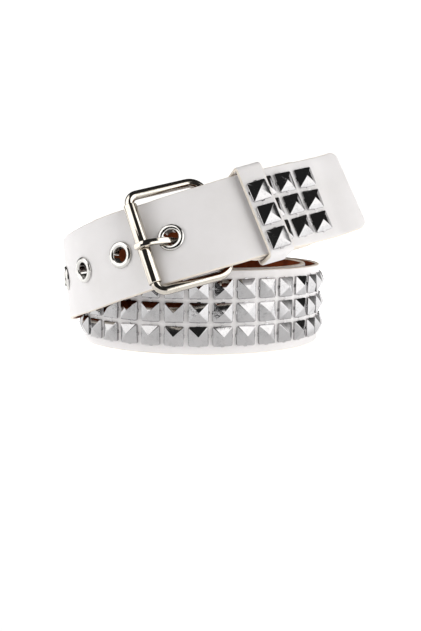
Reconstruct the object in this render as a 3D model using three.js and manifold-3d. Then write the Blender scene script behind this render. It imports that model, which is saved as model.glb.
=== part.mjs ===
// A studded leather belt, buckled and coiled, standing on its lower edge.
// Millimetres, +Z up, the front towards -Y. The route is laid out round the coil's upright axis,
// and at the end the belt is moved so that the origin is under the middle of its box, on the floor.

import * as THREE from 'three';
import { mergeVertices } from 'three/addons/utils/BufferGeometryUtils.js';
import Module from 'manifold-3d';

const wasm = await Module();
wasm.setup();

// Clearances between neighbouring pieces
const touchGap = 0.3;
const layerGap = 0.6;
const behindGap = 0.8;

// Strap: white leather in front, brown lining behind
const strapWidth = 38;
const leatherThickness = 1.9;
const liningGap = 0.4;
const liningThickness = 1;
const liningInset = 0.5;
const strapThickness = leatherThickness + liningGap + liningThickness;
const tipCornerRadius = 4;
const bareStep = 8;

// Pyramid studs in three rows
const studBase = 8.8;
const studHeight = 3;
const studPitch = 10.8;
const studRowPitch = 10.56;
const studFootDepth = 0.5;
const frontStudOffset = 2.1;
const tipStudColumns = 3;
const tipStudMargin = 21.5;
const studFreeLength = 15;

// Eyelets of the adjustment holes
const eyeletCount = 5;
const eyeletPitch = 25.2;
const eyeletHoleRadius = 3.3;
const eyeletWall = 0.6;
const eyeletFlangeRadius = 5.9;
const eyeletFlangeHeight = 0.9;
const eyeletSeat = 0.2;

// Buckle frame, roller and prong
const rodRadius = 2;
const frameWidth = 45.8;
const frontCornerRadius = 4;
const hingeCornerRadius = 6.5;
const hingeShift = 2.2;
const rollerRadius = 2.9;
const rollerGap = 0.9;
const rollerLength = frameWidth - 2 * frontCornerRadius;
const holeToRoller = 11.3;
const holeToHinge = 21.6;
const prongWidth = 2.6;
const prongThickness = 1.8;
const prongRingWall = 1.6;
const prongEndDrop = 1.3;

// Folded end of the strap round the hinge bar, where the leather has no lining
const foldWidth = 28;
const foldLength = 34;
const foldWidening = 12;
const foldSteps = 10;
const flapSteps = 9;
const foldGap = 0.4;
const flapGap = 0.8;
const liningStart = 4.6;
const slotClearance = 0.7;

// Keeper loop, whose front wall rests on the strap at one edge and on the tip's studs at the other
const keeperWidth = 11.6;
const keeperThickness = 1.8;
const keeperLift = 0.8;
const keeperSideGap = 0.5;
const keeperBackGap = 0.7;
const keeperCornerRadius = 2.8;
const keeperStudPitch = 11.1;
const keeperStudDrop = 3.4;
const holeToKeeper = 41.4;

// Coil: outer face of the outermost turn at the front, and the tip's rise above the coil
const coilRadius = 63.2;
const tipRise = 55.5;
const layerPitch = strapThickness + studHeight + layerGap;
const behindOffset = strapThickness + behindGap;

// Sections of the strap's route from the hinge bar to the tip, an angle of 360 degrees for each turn.
// radius is a share of coilRadius, layer counts layers inwards, rise is a share of tipRise,
// lean is the tilt of the upper edge outwards in degrees, behind is 1 where it lies behind the tip.
const routeSections = [
  { turn: 8.5, radius: 1.0505, layer: -1, rise: 0.713, lean: -23.2, behind: 1 },
  { turn: 25, radius: 1.033, layer: -1, rise: 0.814, lean: -24.5, behind: 1 },
  { turn: 38, radius: 1.041, layer: -1, rise: 0.871, lean: -22.4, behind: 1 },
  { turn: 50, radius: 1.02, layer: 0, rise: 0.89, lean: -20, behind: 0 },
  { turn: 62, radius: 0.973, layer: 0.3, rise: 0.897, lean: -17, behind: 0 },
  { turn: 78, radius: 0.968, layer: 1, rise: 0.892, lean: -13, behind: 0 },
  { turn: 95, radius: 0.966, layer: 1.5, rise: 0.87, lean: -10, behind: 0 },
  { turn: 115, radius: 0.979, layer: 2, rise: 0.8, lean: -6, behind: 0 },
  { turn: 140, radius: 0.963, layer: 2, rise: 0.68, lean: -3, behind: 0 },
  { turn: 180, radius: 0.953, layer: 2, rise: 0.5, lean: 0, behind: 0 },
  { turn: 225, radius: 0.955, layer: 2, rise: 0.29, lean: 0, behind: 0 },
  { turn: 265, radius: 0.962, layer: 2, rise: 0.11, lean: 0, behind: 0 },
  { turn: 295, radius: 0.972, layer: 2, rise: 0.02, lean: 0, behind: 0 },
  { turn: 320, radius: 0.98, layer: 2, rise: 0, lean: 0, behind: 0 },
  { turn: 360, radius: 1, layer: 1.6, rise: 0, lean: 0, behind: 0 },
  { turn: 400, radius: 1, layer: 1.2, rise: 0, lean: 0, behind: 0 },
  { turn: 450, radius: 0.99, layer: 1, rise: 0, lean: 0, behind: 0 },
  { turn: 495, radius: 0.965, layer: 1, rise: 0, lean: 0, behind: 0 },
  { turn: 540, radius: 0.953, layer: 1, rise: 0, lean: 0, behind: 0 },
  { turn: 585, radius: 0.955, layer: 1, rise: 0, lean: 0, behind: 0 },
  { turn: 620, radius: 0.965, layer: 1, rise: 0, lean: 0, behind: 0 },
  { turn: 645, radius: 0.981, layer: 0.6, rise: 0, lean: 0, behind: 0 },
  { turn: 670, radius: 1.007, layer: 0.2, rise: 0, lean: 0, behind: 0 },
  { turn: 700, radius: 1, layer: 0, rise: 0, lean: 0, behind: 0 },
  { turn: 780, radius: 1, layer: 0, rise: 0, lean: 0, behind: 0 },
  { turn: 810, radius: 0.99, layer: 0, rise: 0, lean: 0, behind: 0 },
  { turn: 855, radius: 0.965, layer: 0, rise: 0, lean: 0, behind: 0 },
  { turn: 900, radius: 0.953, layer: 0, rise: 0, lean: 0, behind: 0 },
  { turn: 940, radius: 0.966, layer: 0, rise: 0.018, lean: 3, behind: 0 },
  { turn: 970, radius: 1.013, layer: 0, rise: 0.1, lean: 6.5, behind: 0 },
  { turn: 990, radius: 1.006, layer: -0.15, rise: 0.118, lean: 3.2, behind: 0 },
  { turn: 1010, radius: 1.031, layer: -0.35, rise: 0.183, lean: 4.5, behind: 0 },
  { turn: 1030, radius: 1.029, layer: -0.8, rise: 0.28, lean: 4.4, behind: 0 },
  { turn: 1050, radius: 1.033, layer: -1, rise: 0.425, lean: -2.8, behind: 0 },
  { turn: 1062, radius: 1.048, layer: -1, rise: 0.515, lean: -11.2, behind: 0 },
  { turn: 1070, radius: 1.06, layer: -1, rise: 0.581, lean: -18.5, behind: 0 },
  { turn: 1088.5, radius: 1.0505, layer: -1, rise: 0.713, lean: -23.2, behind: 0 },
  { turn: 1105, radius: 1.033, layer: -1, rise: 0.814, lean: -24.5, behind: 0 },
  { turn: 1118, radius: 1.041, layer: -1, rise: 0.871, lean: -22.4, behind: 0 },
  { turn: 1130, radius: 1.106, layer: -1, rise: 0.933, lean: -20.6, behind: 0 },
  { turn: 1138.25, radius: 1.215, layer: -1, rise: 1.004, lean: -20.6, behind: 0 },
];
const hingeTurn = 1088.5;
const frontTurn = 720;
const firstStudTurn = 54;

// Side view of the prong beside the strap: along is measured from the first hole towards the tip,
// out is measured outwards from the strap's face, both as shares of the lengths that they follow
const rollerTop = rollerGap + 2 * rollerRadius + touchGap + prongThickness / 2;
const foldRadius = leatherThickness + foldGap + rodRadius;
const hingeDepth = behindOffset + foldRadius;
const holeSlopeHalf = 1.4;
const prongSections = [
  { along: -holeToRoller - 0.95 * rollerRadius, out: rollerTop - prongEndDrop },
  { along: -holeToRoller - 0.5 * rollerRadius, out: rollerTop - 0.2 * prongEndDrop },
  { along: -holeToRoller, out: rollerTop },
  { along: -holeToRoller + 0.8 * rollerRadius, out: rollerTop - 0.1 * prongEndDrop },
  { along: -holeSlopeHalf - 0.35 * holeToRoller, out: 0.62 * rollerTop },
  { along: -holeSlopeHalf, out: eyeletFlangeHeight + eyeletSeat },
  { along: holeSlopeHalf, out: -strapThickness },
  { along: 0.16 * holeToHinge, out: -0.6 * hingeDepth },
  { along: 0.34 * holeToHinge, out: -0.78 * hingeDepth },
  { along: 0.6 * holeToHinge, out: -0.92 * hingeDepth },
  { along: holeToHinge - rodRadius - touchGap - 0.5 * prongRingWall, out: -hingeDepth },
];

// Materials
const whiteLeather = { color: 0xe8e6e4, roughness: 0.6, metalness: 0 };
const brownLining = { color: 0x4a1c0e, roughness: 0.9, metalness: 0 };
const nickel = { color: 0xcfcac2, roughness: 0.2, metalness: 1 };

const belt = new THREE.Group();

// Adds one named mesh with its own material.
function addPiece(name, geometry, look) {
  const mesh = new THREE.Mesh(geometry, new THREE.MeshStandardMaterial(look));
  mesh.name = name;
  belt.add(mesh);
}

// Slopes of a smooth curve through the values that never overshoots them.
function gentleSlopes(places, values) {
  const steps = places.slice(1).map((place, i) => place - places[i]);
  const rates = steps.map((step, i) => (values[i + 1] - values[i]) / step);
  return values.map((value, i) => {
    if (i === 0) return rates[0];
    if (i === values.length - 1) return rates[i - 1];
    if (rates[i - 1] * rates[i] <= 0) return 0;
    const before = 2 * steps[i] + steps[i - 1];
    const after = steps[i] + 2 * steps[i - 1];
    return (before + after) / (before / rates[i - 1] + after / rates[i]);
  });
}

// A function that gives the smooth value of one column at any place.
function smoothColumn(places, values) {
  const slopes = gentleSlopes(places, values);
  return (place) => {
    let i = places.findIndex((next) => next > place) - 1;
    if (i < 0) i = place < places[0] ? 0 : places.length - 2;
    const step = places[i + 1] - places[i];
    const t = THREE.MathUtils.clamp((place - places[i]) / step, 0, 1);
    const bend = (values[i + 1] - values[i]) / step;
    const first = (slopes[i] - bend) * t * (1 - t) * (1 - t) * step;
    const last = (bend - slopes[i + 1]) * t * t * (1 - t) * step;
    return THREE.MathUtils.lerp(values[i], values[i + 1], t) + first + last;
  };
}

// The route's outer face, middle of its width, as points at equal small angles with their lean.
function traceRoute() {
  const turns = routeSections.map((row) => row.turn);
  const leans = routeSections.map((row) => row.lean);
  const radii = routeSections.map((row) => {
    const inwards = row.behind * behindOffset * Math.cos(THREE.MathUtils.degToRad(row.lean));
    return row.radius * coilRadius - row.layer * layerPitch - inwards;
  });
  const heights = routeSections.map((row) => {
    const lowered = row.behind * behindOffset * Math.sin(THREE.MathUtils.degToRad(row.lean));
    return strapWidth / 2 + row.rise * tipRise + lowered;
  });
  const radiusAt = smoothColumn(turns, radii);
  const heightAt = smoothColumn(turns, heights);
  const leanAt = smoothColumn(turns, leans);
  const samples = [];
  const anglePerSample = 0.5;
  let length = 0;
  for (let turn = turns[0]; turn <= turns[turns.length - 1]; turn += anglePerSample) {
    const angle = THREE.MathUtils.degToRad(turn);
    const radius = radiusAt(turn);
    const point = new THREE.Vector3(radius * Math.sin(angle), -radius * Math.cos(angle), heightAt(turn));
    if (samples.length > 0) length += point.distanceTo(samples[samples.length - 1].point);
    samples.push({ turn, length, point, lean: THREE.MathUtils.degToRad(leanAt(turn)) });
  }
  return samples;
}

const route = traceRoute();
const routeLength = route[route.length - 1].length;

// Length along the route at an angle.
function lengthAtTurn(turn) {
  const i = route.findIndex((sample) => sample.turn >= turn);
  return route[i].length;
}

// Point and lean at a length along the route, straight on past either end.
function sampleAt(length) {
  const after = route.findIndex((sample) => sample.length > length);
  const i = THREE.MathUtils.clamp(after < 0 ? route.length - 1 : after, 1, route.length - 1);
  const before = route[i - 1];
  const share = (length - before.length) / (route[i].length - before.length);
  const point = before.point.clone().lerp(route[i].point, share);
  const lean = THREE.MathUtils.lerp(before.lean, route[i].lean, THREE.MathUtils.clamp(share, 0, 1));
  return { point, lean };
}

// A frame from a point, its direction of travel and a rough direction across the strap.
function makeFrame(point, travel, roughAcross) {
  const along = travel.clone().normalize();
  const across = roughAcross.clone().addScaledVector(along, -roughAcross.dot(along)).normalize();
  const out = new THREE.Vector3().crossVectors(along, across);
  return { point, along, across, out };
}

// The strap's frame at a length: along the route, across the width upwards, and out of the face.
function strapFrame(length) {
  const reach = 0.8;
  const { point, lean } = sampleAt(length);
  const travel = sampleAt(length + reach).point.sub(sampleAt(length - reach).point);
  const up = new THREE.Vector3(0, 0, 1);
  const level = new THREE.Vector3().crossVectors(travel, up).normalize();
  const roughAcross = up.multiplyScalar(Math.cos(lean)).addScaledVector(level, Math.sin(lean));
  return makeFrame(point, travel, roughAcross);
}

// A point given by its distances in a frame.
function pointIn(frame, along, across, out) {
  return frame.point.clone().addScaledVector(frame.along, along)
    .addScaledVector(frame.across, across).addScaledVector(frame.out, out);
}

// The same frame moved to another place in it.
function movedFrame(frame, along, across, out) {
  return { ...frame, point: pointIn(frame, along, across, out) };
}

// Places on the route that the other pieces share: the fold sits hingeShift below the bar's middle
const hingeLength = lengthAtTurn(hingeTurn);
const firstHoleLength = hingeLength - holeToHinge;
const lastHoleLength = firstHoleLength - (eyeletCount - 1) * eyeletPitch;
const strapStart = strapFrame(0);

// The buckle's own frame: its middle between the two bars, along from the roller to the hinge bar.
// The roller lies flat on the strap and the hinge bar is parallel to it.
const rollerSeat = strapFrame(firstHoleLength - holeToRoller);
const rollerCentre = pointIn(rollerSeat, 0, 0, rollerRadius + rollerGap);
const barDirection = rollerSeat.across.clone().add(strapStart.across);
barDirection.addScaledVector(rollerSeat.out, -barDirection.dot(rollerSeat.out));
const hingeMiddle = pointIn(strapStart, 0, hingeShift, -foldRadius);
const frameLength = hingeMiddle.distanceTo(rollerCentre);
const buckleFrame = makeFrame(
  rollerCentre.clone().lerp(hingeMiddle, 0.5),
  hingeMiddle.clone().sub(rollerCentre),
  barDirection,
);

// The hinge bar's frame: along and out as the strap that is folded round it, across as the bar.
const hingeFrame = (() => {
  const across = buckleFrame.across;
  const along = strapStart.along.clone().addScaledVector(across, -strapStart.along.dot(across));
  const shift = across.clone().multiplyScalar(-hingeShift / across.dot(strapStart.across));
  return makeFrame(hingeMiddle.clone().add(shift), along, across);
})();

// Collects triangles and turns them into one closed geometry.
class Surface {
  constructor() {
    this.corners = [];
  }

  triangle(a, b, c) {
    this.corners.push(a, b, c);
  }

  quad(a, b, c, d) {
    this.triangle(a, b, c);
    this.triangle(a, c, d);
  }

  // Joins two rings of points with quads, apart from the quads that are left open.
  band(ring, next, isOpen = () => false) {
    ring.forEach((point, i) => {
      const j = (i + 1) % ring.length;
      if (!isOpen(i)) this.quad(point, ring[j], next[j], next[i]);
    });
  }

  // The same with each quad split along its other diagonal.
  crossBand(ring, next) {
    ring.forEach((point, i) => {
      const j = (i + 1) % ring.length;
      this.quad(ring[j], next[j], next[i], point);
    });
  }

  // Closes a flat ring with a fan of triangles.
  fan(ring) {
    for (let i = 1; i < ring.length - 1; i += 1) this.triangle(ring[0], ring[i], ring[i + 1]);
  }

  geometry() {
    const raw = new THREE.BufferGeometry().setFromPoints(this.corners);
    return mergeVertices(raw, 1e-4);
  }
}

// Solids for cutting and joining, and back again.
function toSolid(geometry) {
  const bare = geometry.clone();
  bare.deleteAttribute('normal');
  bare.deleteAttribute('uv');
  const merged = mergeVertices(bare, 1e-4);
  return new wasm.Manifold(new wasm.Mesh({
    numProp: 3,
    vertProperties: new Float32Array(merged.attributes.position.array),
    triVerts: new Uint32Array(merged.index.array),
  }));
}

function toGeometry(solid) {
  const mesh = solid.getMesh();
  const geometry = new THREE.BufferGeometry();
  geometry.setAttribute('position', new THREE.BufferAttribute(mesh.vertProperties, 3));
  geometry.setIndex(new THREE.BufferAttribute(mesh.triVerts, 1));
  return geometry;
}

// Places a geometry whose X runs along, Y points out and Z points down across the strap.
function placeIn(geometry, frame) {
  const down = frame.across.clone().negate();
  const turn = new THREE.Matrix4().makeBasis(frame.along, frame.out, down);
  return geometry.applyMatrix4(turn.setPosition(frame.point));
}

// The strap's frame, turned parallel to the hinge bar where the strap leaves it.
function bandFrame(length) {
  const { point, along, across } = strapFrame(length);
  const share = THREE.MathUtils.smoothstep(length, 0, foldWidening);
  return makeFrame(point, along, hingeFrame.across.clone().lerp(across, share));
}

// Depth of the folded end's outer face below the strap's face, at a distance from the hinge bar.
// The keeper's back wall passes between the two.
function flapDepth(distance) {
  const share = THREE.MathUtils.smoothstep(distance, 0, foldWidening);
  const room = keeperBackGap + keeperThickness + flapGap;
  return THREE.MathUtils.lerp(2 * foldRadius, strapThickness + room + leatherThickness, share);
}

// Frames of the folded end, from its free end round the hinge bar to the start of the route.
function foldFrames() {
  const places = [];
  for (let i = flapSteps; i > 0; i -= 1) {
    const distance = foldLength * (i / flapSteps) ** 1.5;
    const frame = bandFrame(distance);
    places.push({ point: pointIn(frame, 0, 0, -flapDepth(distance)), across: frame.across });
  }
  for (let i = 0; i < foldSteps; i += 1) {
    const angle = Math.PI * (1 - i / foldSteps);
    const point = pointIn(hingeFrame, -foldRadius * Math.sin(angle), 0, foldRadius * Math.cos(angle));
    places.push({ point, across: hingeFrame.across });
  }
  return places.map(({ point, across }, i) => {
    const next = i < places.length - 1 ? places[i + 1].point : strapStart.point;
    const previous = i > 0 ? places[i - 1].point : point;
    return makeFrame(point, next.clone().sub(previous), across);
  });
}

// Places of the stud columns on the turns and on the tip.
function studColumnLengths() {
  const front = lengthAtTurn(frontTurn) + frontStudOffset;
  const first = lengthAtTurn(firstStudTurn);
  const last = lastHoleLength - studFreeLength;
  const columns = [];
  for (let i = Math.ceil((first - front) / studPitch); front + i * studPitch <= last; i += 1) {
    columns.push(front + i * studPitch);
  }
  for (let i = tipStudColumns - 1; i >= 0; i -= 1) {
    columns.push(routeLength - tipStudMargin - i * studPitch);
  }
  return columns;
}

// Half the width at a length: narrow at the fold, round corners at the tip.
function halfWidthAt(length) {
  const widening = THREE.MathUtils.smoothstep(length, 0, foldWidening);
  const half = THREE.MathUtils.lerp(foldWidth, strapWidth, widening) / 2;
  const intoCorner = Math.max(0, length - (routeLength - tipCornerRadius));
  const drop = tipCornerRadius - Math.sqrt(Math.max(0, tipCornerRadius ** 2 - intoCorner ** 2));
  return half - drop;
}

// Stations along the strap: the fold, each stud's two edges, even steps between, the round tip.
function strapStations() {
  const stations = foldFrames().map((frame) => (
    { length: -1, frame, half: foldWidth / 2, studs: false }));
  const edges = [{ length: 0, studs: false }, { length: liningStart, studs: false }];
  const addSteps = (end) => {
    const start = edges[edges.length - 1].length;
    const count = Math.max(1, Math.ceil((end - start) / bareStep));
    for (let i = 1; i < count; i += 1) {
      edges.push({ length: start + (end - start) * i / count, studs: false });
    }
  };
  for (const column of studColumnLengths()) {
    addSteps(column - studBase / 2);
    edges.push({ length: column - studBase / 2, studs: true });
    edges.push({ length: column + studBase / 2, studs: false });
  }
  addSteps(routeLength - tipCornerRadius);
  const cornerSteps = 4;
  for (let i = 0; i <= cornerSteps; i += 1) {
    const angle = 0.5 * Math.PI * i / cornerSteps;
    edges.push({ length: routeLength - tipCornerRadius * (1 - Math.sin(angle)), studs: false });
  }
  for (const { length, studs } of edges) {
    stations.push({ length, frame: bandFrame(length), half: halfWidthAt(length), studs });
  }
  return stations;
}

const stations = strapStations();

// Shares of the half width where the stud rows begin and end.
const rowShares = [-1, 0, 1].flatMap((row) => {
  const middle = row * studRowPitch;
  return [(middle - studBase / 2) / (strapWidth / 2), (middle + studBase / 2) / (strapWidth / 2)];
});

// One pyramid on four base corners, without its base.
function addPyramid(surface, base, out, height) {
  const centre = new THREE.Vector3();
  base.forEach((corner) => centre.addScaledVector(corner, 1 / base.length));
  const apex = centre.addScaledVector(out, height);
  base.forEach((corner, i) => surface.triangle(corner, base[(i + 1) % base.length], apex));
}

// The strap's white leather with its studs, before the holes are cut.
function leatherGeometry() {
  const surface = new Surface();
  const rings = stations.map(({ frame, half }) => {
    const front = [-1, ...rowShares, 1].map((share) => pointIn(frame, 0, -share * half, 0));
    const back = [-1, 1].map((share) => pointIn(frame, 0, share * half, -leatherThickness));
    return [...front, ...back];
  });
  for (let i = 0; i < rings.length - 1; i += 1) {
    const isStud = (j) => stations[i].studs && [1, 3, 5].includes(j);
    surface.band(rings[i], rings[i + 1], isStud);
    for (const j of [1, 3, 5].filter(isStud)) {
      const base = [rings[i][j], rings[i][j + 1], rings[i + 1][j + 1], rings[i + 1][j]];
      const side = base[1].clone().sub(base[0]);
      const out = new THREE.Vector3().crossVectors(side, base[3].clone().sub(base[0])).normalize();
      addPyramid(surface, base, out, studHeight);
    }
  }
  surface.fan([...rings[0]].reverse());
  surface.fan(rings[rings.length - 1]);
  return surface.geometry();
}

// The brown lining, a plain band whose facets follow the back of the leather.
function liningGeometry() {
  const surface = new Surface();
  const lined = stations.filter(({ length }) => length >= liningStart);
  const rings = lined.map(({ frame, half }) => {
    const depth = leatherThickness + liningGap;
    const side = half - liningInset;
    return [
      pointIn(frame, 0, side, -depth),
      pointIn(frame, 0, -side, -depth),
      pointIn(frame, 0, -side, -depth - liningThickness),
      pointIn(frame, 0, side, -depth - liningThickness),
    ];
  });
  for (let i = 0; i < rings.length - 1; i += 1) surface.crossBand(rings[i], rings[i + 1]);
  surface.fan([...rings[0]].reverse());
  surface.fan(rings[rings.length - 1]);
  return surface.geometry();
}

// Frames of the eyelets, from the one that the prong goes through.
const eyeletFrames = Array.from({ length: eyeletCount }, (unused, i) => (
  strapFrame(firstHoleLength - i * eyeletPitch)));

// Cuts the eyelet holes and the prong's slot out of a layer of the strap.
function cutOpenings(geometry) {
  const holeRadius = eyeletHoleRadius + eyeletWall + touchGap;
  const slotWidth = prongWidth + 2 * slotClearance;
  const ringReach = rodRadius + touchGap + prongRingWall + slotClearance;
  let solid = toSolid(geometry);
  for (const frame of eyeletFrames) {
    const hole = new THREE.CylinderGeometry(holeRadius, holeRadius, 4 * strapThickness, 16);
    solid = solid.subtract(toSolid(placeIn(hole, movedFrame(frame, 0, 0, -strapThickness / 2))));
  }
  const slotLength = 1.5 * foldRadius + ringReach;
  const slot = new THREE.BoxGeometry(slotLength, 3 * foldRadius, slotWidth);
  const slotPlace = movedFrame(hingeFrame, ringReach - slotLength / 2, 0, 0);
  return toGeometry(solid.subtract(toSolid(placeIn(slot, slotPlace))));
}

addPiece('strap', cutOpenings(leatherGeometry()), whiteLeather);
addPiece('lining', cutOpenings(liningGeometry()), brownLining);

// One eyelet: a tube through the strap with a rounded flange on its face.
function eyeletGeometry() {
  const outer = eyeletHoleRadius + eyeletWall;
  const top = eyeletSeat + eyeletFlangeHeight;
  const middle = (eyeletHoleRadius + eyeletFlangeRadius) / 2;
  const profile = [
    [eyeletHoleRadius, -strapThickness],
    [outer, -strapThickness],
    [outer, eyeletSeat],
    [eyeletFlangeRadius, eyeletSeat],
    [middle, top],
    [eyeletHoleRadius, eyeletSeat],
    [eyeletHoleRadius, -strapThickness],
  ];
  return new THREE.LatheGeometry(profile.map(([radius, out]) => new THREE.Vector2(radius, out)), 16);
}

eyeletFrames.forEach((frame, i) => {
  addPiece(`eyelet_${i + 1}`, placeIn(eyeletGeometry(), frame), nickel);
});

// A closed tube or bar swept through rings of points.
function sweepRings(rings, isClosed) {
  const surface = new Surface();
  for (let i = 0; i < rings.length - 1; i += 1) surface.band(rings[i], rings[i + 1]);
  if (isClosed) surface.band(rings[rings.length - 1], rings[0]);
  if (!isClosed) {
    surface.fan([...rings[0]].reverse());
    surface.fan(rings[rings.length - 1]);
  }
  return surface.geometry();
}

// The rod bent into a rectangle with round corners.
function frameGeometry() {
  const cornerSteps = 4;
  const rodSides = 8;
  const corners = [
    { along: 1, across: 1, radius: hingeCornerRadius, start: 0 },
    { along: -1, across: 1, radius: frontCornerRadius, start: 90 },
    { along: -1, across: -1, radius: frontCornerRadius, start: 180 },
    { along: 1, across: -1, radius: hingeCornerRadius, start: 270 },
  ];
  const rings = corners.flatMap(({ along, across, radius, start }) => (
    Array.from({ length: cornerSteps + 1 }, (unused, i) => {
      const angle = THREE.MathUtils.degToRad(start + 90 * i / cornerSteps);
      const x = along * (frameLength / 2 - radius);
      const y = across * (frameWidth / 2 - radius);
      return Array.from({ length: rodSides }, (unusedSide, j) => {
        const side = 2 * Math.PI * j / rodSides;
        const reach = radius + rodRadius * Math.cos(side);
        const out = -rodRadius * Math.sin(side);
        return pointIn(buckleFrame, x + reach * Math.cos(angle), y + reach * Math.sin(angle), out);
      });
    })
  ));
  return sweepRings(rings, true);
}

addPiece('buckle_frame', frameGeometry(), nickel);

// The roller: a tube that turns on the front bar.
function rollerGeometry() {
  const bore = rodRadius + touchGap;
  const profile = [[bore, -1], [rollerRadius, -1], [rollerRadius, 1], [bore, 1], [bore, -1]];
  const points = profile.map(([radius, end]) => new THREE.Vector2(radius, end * rollerLength / 2));
  const tube = new THREE.LatheGeometry(points, 18);
  tube.rotateX(Math.PI / 2);
  return placeIn(tube, { ...buckleFrame, point: rollerCentre });
}

addPiece('buckle_roller', rollerGeometry(), nickel);

// The prong: a ring round the hinge bar and an arm through the first hole onto the roller.
function prongGeometry() {
  const bore = rodRadius + touchGap;
  const outer = bore + prongRingWall;
  const profile = [[bore, -1], [outer, -1], [outer, 1], [bore, 1], [bore, -1]];
  const points = profile.map(([radius, end]) => new THREE.Vector2(radius, end * prongWidth / 2));
  const ring = placeIn(new THREE.LatheGeometry(points, 14).rotateX(Math.PI / 2), hingeFrame);
  const holeFrame = eyeletFrames[0];
  const places = prongSections.map(({ along, out }) => {
    const frame = strapFrame(firstHoleLength + along);
    return frame.point.addScaledVector(frame.out, out);
  });
  const arm = new THREE.CatmullRomCurve3(places, false, 'centripetal');
  const steps = 18;
  const chamfer = 0.3;
  const section = [[-1, -1], [1, -1], [1, 1], [-1, 1]].flatMap(([side, face], i) => {
    const across = side * prongWidth / 2;
    const out = face * prongThickness / 2;
    const cuts = [[across, out - face * chamfer], [across - side * chamfer, out]];
    return i % 2 === 0 ? cuts : cuts.reverse();
  });
  const rings = Array.from({ length: steps + 1 }, (unused, i) => {
    const travel = arm.getTangentAt(i / steps);
    const frame = makeFrame(arm.getPointAt(i / steps), travel, holeFrame.across);
    return section.map(([across, out]) => pointIn(frame, 0, across, out));
  });
  return toGeometry(toSolid(sweepRings(rings, false)).add(toSolid(ring)));
}

addPiece('buckle_prong', prongGeometry(), nickel);

// A rounded rectangle as a list of points, counted the same way round at any size.
function roundedOutline(halfWidth, low, high, radius) {
  const cornerSteps = 3;
  const middles = [
    [halfWidth, high, 0], [-halfWidth, high, 90], [-halfWidth, low, 180], [halfWidth, low, 270],
  ];
  return middles.flatMap(([across, out, start]) => (
    Array.from({ length: cornerSteps + 1 }, (unused, i) => {
      const angle = THREE.MathUtils.degToRad(start + 90 * i / cornerSteps);
      const x = across - Math.sign(across) * radius + radius * Math.cos(angle);
      const y = out + (out === high ? -radius : radius) + radius * Math.sin(angle);
      return [x, y];
    })
  ));
}

// The keeper loop round both layers of the strap, with three studs on its front.
function keeperGeometry() {
  const frame = strapFrame(firstHoleLength + holeToKeeper);
  const inner = strapWidth / 2 + keeperSideGap;
  const back = -(behindOffset + strapThickness + keeperBackGap);
  const innerRadius = keeperCornerRadius - keeperThickness;
  const ringAt = (end, wall) => {
    const high = (end < 0 ? keeperLift : studHeight + touchGap) + wall;
    const outline = roundedOutline(inner + wall, back - wall, high, innerRadius + wall);
    return outline.map(([across, out]) => pointIn(frame, end * keeperWidth / 2, across, out));
  };
  const rings = [[-1, keeperThickness], [1, keeperThickness], [1, 0], [-1, 0]].map(([end, wall]) => (
    ringAt(end, wall)));
  const surface = new Surface();
  rings.forEach((ring, i) => surface.band(ring, rings[(i + 1) % rings.length]));
  let solid = toSolid(surface.geometry());
  const rise = studHeight + touchGap - keeperLift;
  const face = (keeperLift + studHeight + touchGap) / 2 + keeperThickness;
  const tilted = frame.along.clone().multiplyScalar(keeperWidth).addScaledVector(frame.out, rise);
  const studFrame = makeFrame(pointIn(frame, 0, -keeperStudDrop, face), tilted, frame.across);
  for (const row of [-1, 0, 1]) {
    const height = studHeight + studFootDepth;
    const half = studBase / 2 * height / studHeight;
    const base = [[-1, 1], [-1, -1], [1, -1], [1, 1]].map(([along, across]) => (
      pointIn(studFrame, along * half, row * keeperStudPitch + across * half, -studFootDepth)));
    const stud = new Surface();
    stud.fan([...base].reverse());
    addPyramid(stud, base, studFrame.out, height);
    solid = solid.add(toSolid(stud.geometry()));
  }
  return toGeometry(solid);
}

addPiece('keeper', keeperGeometry(), whiteLeather);

// Move the middle of the belt's box over the origin.
const middle = new THREE.Box3().setFromObject(belt, true).getCenter(new THREE.Vector3());
belt.position.set(-middle.x, -middle.y, 0);

export default belt;
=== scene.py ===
"""A white studded belt, buckled and coiled, standing on its lower edge on a white table."""

import bpy
import numpy as np
from mathutils import Matrix


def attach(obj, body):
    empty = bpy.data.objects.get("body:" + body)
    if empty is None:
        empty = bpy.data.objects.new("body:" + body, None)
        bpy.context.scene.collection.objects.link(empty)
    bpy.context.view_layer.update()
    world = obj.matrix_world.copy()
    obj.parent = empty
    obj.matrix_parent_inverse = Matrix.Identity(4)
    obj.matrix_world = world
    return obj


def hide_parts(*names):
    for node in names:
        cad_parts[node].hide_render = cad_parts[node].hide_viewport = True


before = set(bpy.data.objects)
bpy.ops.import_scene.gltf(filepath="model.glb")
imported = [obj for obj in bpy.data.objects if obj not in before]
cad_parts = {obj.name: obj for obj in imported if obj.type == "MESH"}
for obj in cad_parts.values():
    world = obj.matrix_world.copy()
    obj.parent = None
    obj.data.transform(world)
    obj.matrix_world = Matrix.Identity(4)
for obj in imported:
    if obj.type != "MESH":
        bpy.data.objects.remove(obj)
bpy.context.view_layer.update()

# The route of the strap. The belt is one long band that is wound up three times, comes up over the
# front and passes through its own buckle. Every other piece is set on this route, which is a table
# of sections from the hinge bar to the tip, 360 degrees for each turn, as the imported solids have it.
MM = 0.001
coil_radius = 63.2 * MM
tip_rise = 55.5 * MM
strap_width = 38 * MM
leather_thickness = 1.9 * MM
lining_gap = 0.4 * MM
lining_thickness = 1 * MM
strap_thickness = leather_thickness + lining_gap + lining_thickness
stud_height = 3 * MM
layer_gap = 0.6 * MM
behind_gap = 0.8 * MM
layer_pitch = strap_thickness + stud_height + layer_gap
behind_offset = strap_thickness + behind_gap
axis_x = -5.376 * MM
axis_y = 10.009 * MM

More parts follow.
